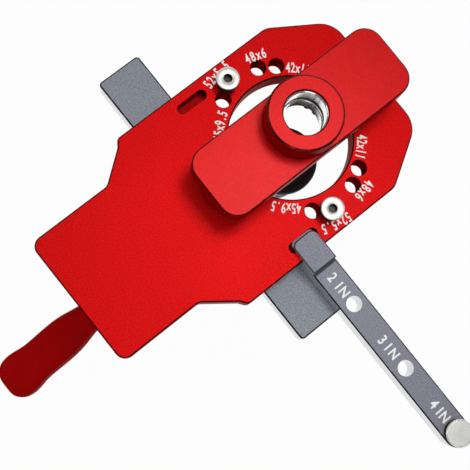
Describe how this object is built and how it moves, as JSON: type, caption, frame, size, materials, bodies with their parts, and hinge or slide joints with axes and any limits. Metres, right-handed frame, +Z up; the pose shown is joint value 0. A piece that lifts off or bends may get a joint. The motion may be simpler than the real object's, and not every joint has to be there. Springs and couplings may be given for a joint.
{
  "type": "hinge jig",
  "caption": "Clamp-on jig for boring 35 mm concealed hinge cups: stepped base plate, bridge with ball-bearing shank guide, sliding fence, stop arm with pin, drill bushes and toggle clamp",
  "frame": {"origin": "On the axis of the cup opening, at the underside of the base plate, where the door's face lies.", "axes": "+Z up along the cutter's axis, +Y towards the door, away from the clamp's handle, +X along the stop arm."},
  "size_m": [0.1611, 0.1574, 0.092],
  "materials": {
    "red_anodised": "bead-blasted, red anodised",
    "grey_anodised": "bead-blasted, grey anodised",
    "turned_steel": "turned, bright",
    "bearing_steel": "ground and polished",
    "zinc_steel": "zinc plated",
    "black_steel": "blackened spring steel",
    "black_rubber": "matt",
    "grip_vinyl": "dipped, satin"
  },
  "bodies": {
    "jig_body": {"main_plate": "red_anodised", "bridge": "red_anodised", "rear_bridge_post": "red_anodised", "front_bridge_post": "red_anodised", "bridge_screws": "zinc_steel", "upper_bearing_outer_ring": "bearing_steel", "lower_bearing_outer_ring": "bearing_steel", "bearing_shields": "zinc_steel", "bearing_spacer": "zinc_steel", "bearing_circlip": "black_steel", "fence_screws": "zinc_steel", "fence_washers": "zinc_steel", "clamp_base_left": "zinc_steel", "clamp_base_right": "zinc_steel", "clamp_base_screws": "zinc_steel", "arm_pivot_rivet": "zinc_steel", "link_pivot_rivets": "zinc_steel"},
    "upper_ring": {"upper_bearing_inner_ring": "bearing_steel"},
    "upper_balls": {"upper_bearing_balls": "bearing_steel", "upper_bearing_cage": "zinc_steel"},
    "lower_ring": {"lower_bearing_inner_ring": "bearing_steel"},
    "lower_balls": {"lower_bearing_balls": "bearing_steel", "lower_bearing_cage": "zinc_steel"},
    "fence": {"fence_bar": "grey_anodised"},
    "arm": {"stop_arm": "grey_anodised"},
    "pin": {"stop_pin": "turned_steel"},
    "bush_left": {"left_bush": "turned_steel"},
    "bush_right": {"right_bush": "turned_steel"},
    "clamp": {"clamp_arm": "zinc_steel", "spindle_nuts": "zinc_steel", "spindle_washers": "zinc_steel", "handle_pivot_rivet": "zinc_steel"},
    "pad": {"pad_spindle": "zinc_steel", "rubber_pad": "black_rubber"},
    "handle": {"handle_lever": "zinc_steel", "handle_grip": "grip_vinyl"},
    "links": {"toggle_links": "zinc_steel", "link_end_rivets": "zinc_steel"}
  },
  "joints": [
    {"name": "upper_ring_spin", "type": "hinge", "parent": "jig_body", "child": "upper_ring", "pos_m": [0, 0, 0.0338], "axis": [0, 0, 1], "continuous": true},
    {"name": "upper_balls_orbit", "type": "hinge", "parent": "jig_body", "child": "upper_balls", "pos_m": [0, 0, 0.0338], "axis": [0, 0, 1], "continuous": true},
    {"name": "lower_ring_spin", "type": "hinge", "parent": "jig_body", "child": "lower_ring", "pos_m": [0, 0, 0.0248], "axis": [0, 0, 1], "continuous": true},
    {"name": "lower_balls_orbit", "type": "hinge", "parent": "jig_body", "child": "lower_balls", "pos_m": [0, 0, 0.0248], "axis": [0, 0, 1], "continuous": true},
    {"name": "fence_slide", "type": "slide", "parent": "jig_body", "child": "fence", "axis": [0, 1, 0], "range_m": [-0.003, 0]},
    {"name": "stop_arm_lift", "type": "slide", "parent": "jig_body", "child": "arm", "axis": [0, 0, 1], "range_m": [0, 0.012]},
    {"name": "stop_pin_lift", "type": "slide", "parent": "arm", "child": "pin", "axis": [0, 0, 1], "range_m": [0, 0.022]},
    {"name": "left_bush_lift", "type": "slide", "parent": "jig_body", "child": "bush_left", "axis": [0, 0, 1], "range_m": [0, 0.012]},
    {"name": "right_bush_lift", "type": "slide", "parent": "jig_body", "child": "bush_right", "axis": [0, 0, 1], "range_m": [0, 0.012]},
    {"name": "clamp_arm_swing", "type": "hinge", "parent": "jig_body", "child": "clamp", "pos_m": [0.002, -0.048, -0.016], "axis": [-1, 0, 0], "range_deg": [0, 85]},
    {"name": "handle_swing", "type": "hinge", "parent": "clamp", "child": "handle", "pos_m": [0.002, -0.048, -0.034], "axis": [-1, 0, 0], "range_deg": [-126.6, 0]},
    {"name": "link_swing", "type": "hinge", "parent": "jig_body", "child": "links", "pos_m": [0.002, -0.07, -0.011], "axis": [-1, 0, 0], "range_deg": [0, 112.8]},
    {"name": "pad_height", "type": "slide", "parent": "clamp", "child": "pad", "axis": [0, 0, 1], "range_m": [-0.002, 0.006]}
  ],
  "couplings": [
    {"joint": "upper_balls_orbit", "follows": "upper_ring_spin", "ratio": 0.443},
    {"joint": "lower_balls_orbit", "follows": "lower_ring_spin", "ratio": 0.443},
    {"joint": "handle_swing", "follows": "clamp_arm_swing", "ratio": -1.4885},
    {"joint": "link_swing", "follows": "clamp_arm_swing", "ratio": 1.3269}
  ]
}
